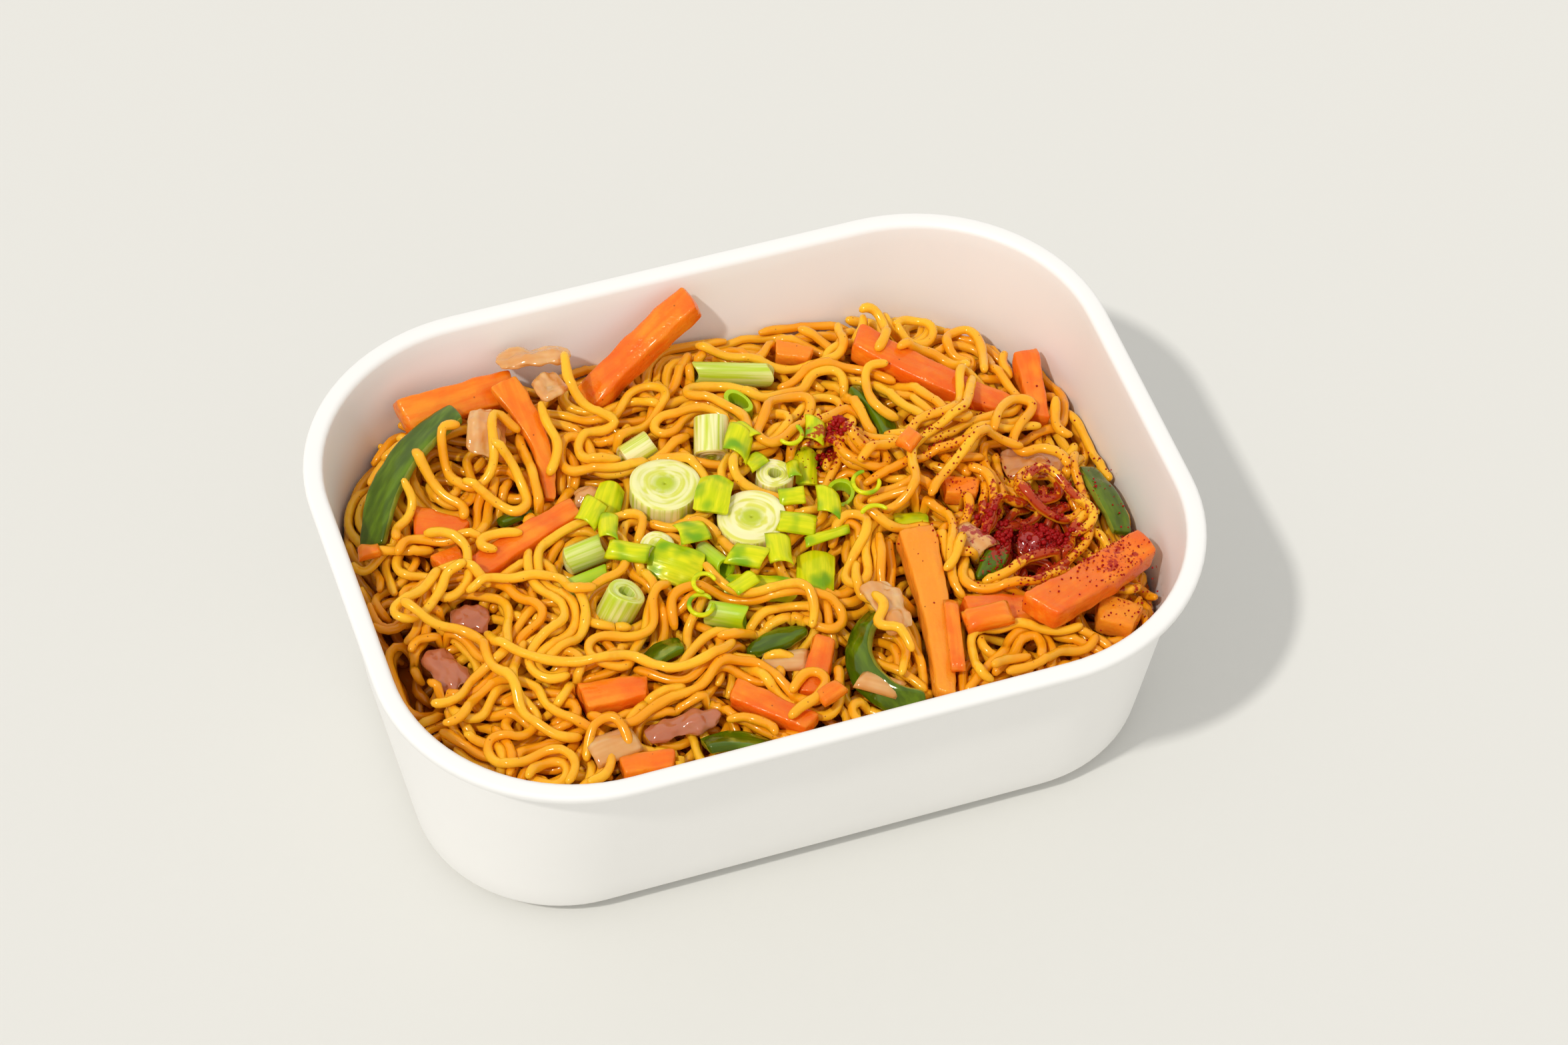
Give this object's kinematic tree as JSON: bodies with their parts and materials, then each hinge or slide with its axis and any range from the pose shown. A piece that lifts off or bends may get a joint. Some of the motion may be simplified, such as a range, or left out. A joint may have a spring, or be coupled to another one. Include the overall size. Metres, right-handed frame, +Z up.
{
  "type": "noodle takeaway box",
  "caption": "Open rounded rectangular takeaway box filled with wavy stir-fried noodles, carrot sticks, green pepper strips, onion petals and chopped spring onion.",
  "frame": {"origin": "centre of the box's flat underside, which stands on the table", "axes": "+X along the box's length, +Y across it, +Z up through its open top"},
  "size_m": [0.1748, 0.1324, 0.0622],
  "materials": {
    "white_board": "smooth matt moulded plastic or coated board",
    "noodle": "moist, coated in a glossy chilli and soy sauce",
    "carrot": "cut, lightly fried, moist",
    "pepper": "glossy dark green skin with paler flesh",
    "onion": "translucent, fried, glossy",
    "spring_onion_stalk": "fresh cut, pale",
    "spring_onion_leaf": "fresh cut, bright green"
  },
  "bodies": {
    "root": {"box": "white_board", "carrot_back_left": "carrot", "carrot_back_right": "carrot", "carrot_back_stick": "carrot", "carrot_back_stub": "carrot", "carrot_front_edge": "carrot", "carrot_front_left": "carrot", "carrot_front_long": "carrot", "carrot_front_middle": "carrot", "carrot_front_stub": "carrot", "carrot_left_chunk": "carrot", "carrot_left_stick": "carrot", "carrot_left_strip": "carrot", "carrot_left_stub": "carrot", "carrot_middle_stub": "carrot", "carrot_right_block": "carrot", "carrot_right_low": "carrot", "carrot_right_top": "carrot", "carrot_right_wall": "carrot", "noodles": "noodle", "onion_back_top": "onion", "onion_centre_left": "onion", "onion_front_right": "onion", "onion_front_strip": "onion", "onion_left_curl": "onion", "onion_left_low": "onion", "onion_left_pale": "onion", "onion_left_shiny": "onion", "onion_right_crumpled": "onion", "onion_right_round": "onion", "pepper_back_strip": "pepper", "pepper_front_bit": "pepper", "pepper_front_edge": "pepper", "pepper_front_hook": "pepper", "pepper_front_pod": "pepper", "pepper_left_arc": "pepper", "pepper_left_bit": "pepper", "pepper_right_point": "pepper", "pepper_right_wall": "pepper", "spring_onion_bulb_low": "spring_onion_stalk", "spring_onion_curl_back": "spring_onion_stalk", "spring_onion_disc_left": "spring_onion_stalk", "spring_onion_disc_right": "spring_onion_stalk", "spring_onion_leaf_bright": "spring_onion_leaf", "spring_onion_leaf_left": "spring_onion_leaf", "spring_onion_leaf_long": "spring_onion_leaf", "spring_onion_leaf_middle": "spring_onion_leaf", "spring_onion_leaf_right": "spring_onion_leaf", "spring_onion_leaf_side": "spring_onion_leaf", "spring_onion_leaf_upper": "spring_onion_leaf", "spring_onion_ring_green": "spring_onion_stalk", "spring_onion_ring_low": "spring_onion_stalk", "spring_onion_ring_white": "spring_onion_stalk", "spring_onion_tube_back": "spring_onion_stalk", "spring_onion_tube_front": "spring_onion_stalk", "spring_onion_tube_left": "spring_onion_stalk", "spring_onion_tube_low": "spring_onion_stalk", "spring_onion_tube_middle": "spring_onion_stalk", "spring_onion_white_back": "spring_onion_stalk", "spring_onion_white_small": "spring_onion_stalk"}
  },
  "joints": []
}
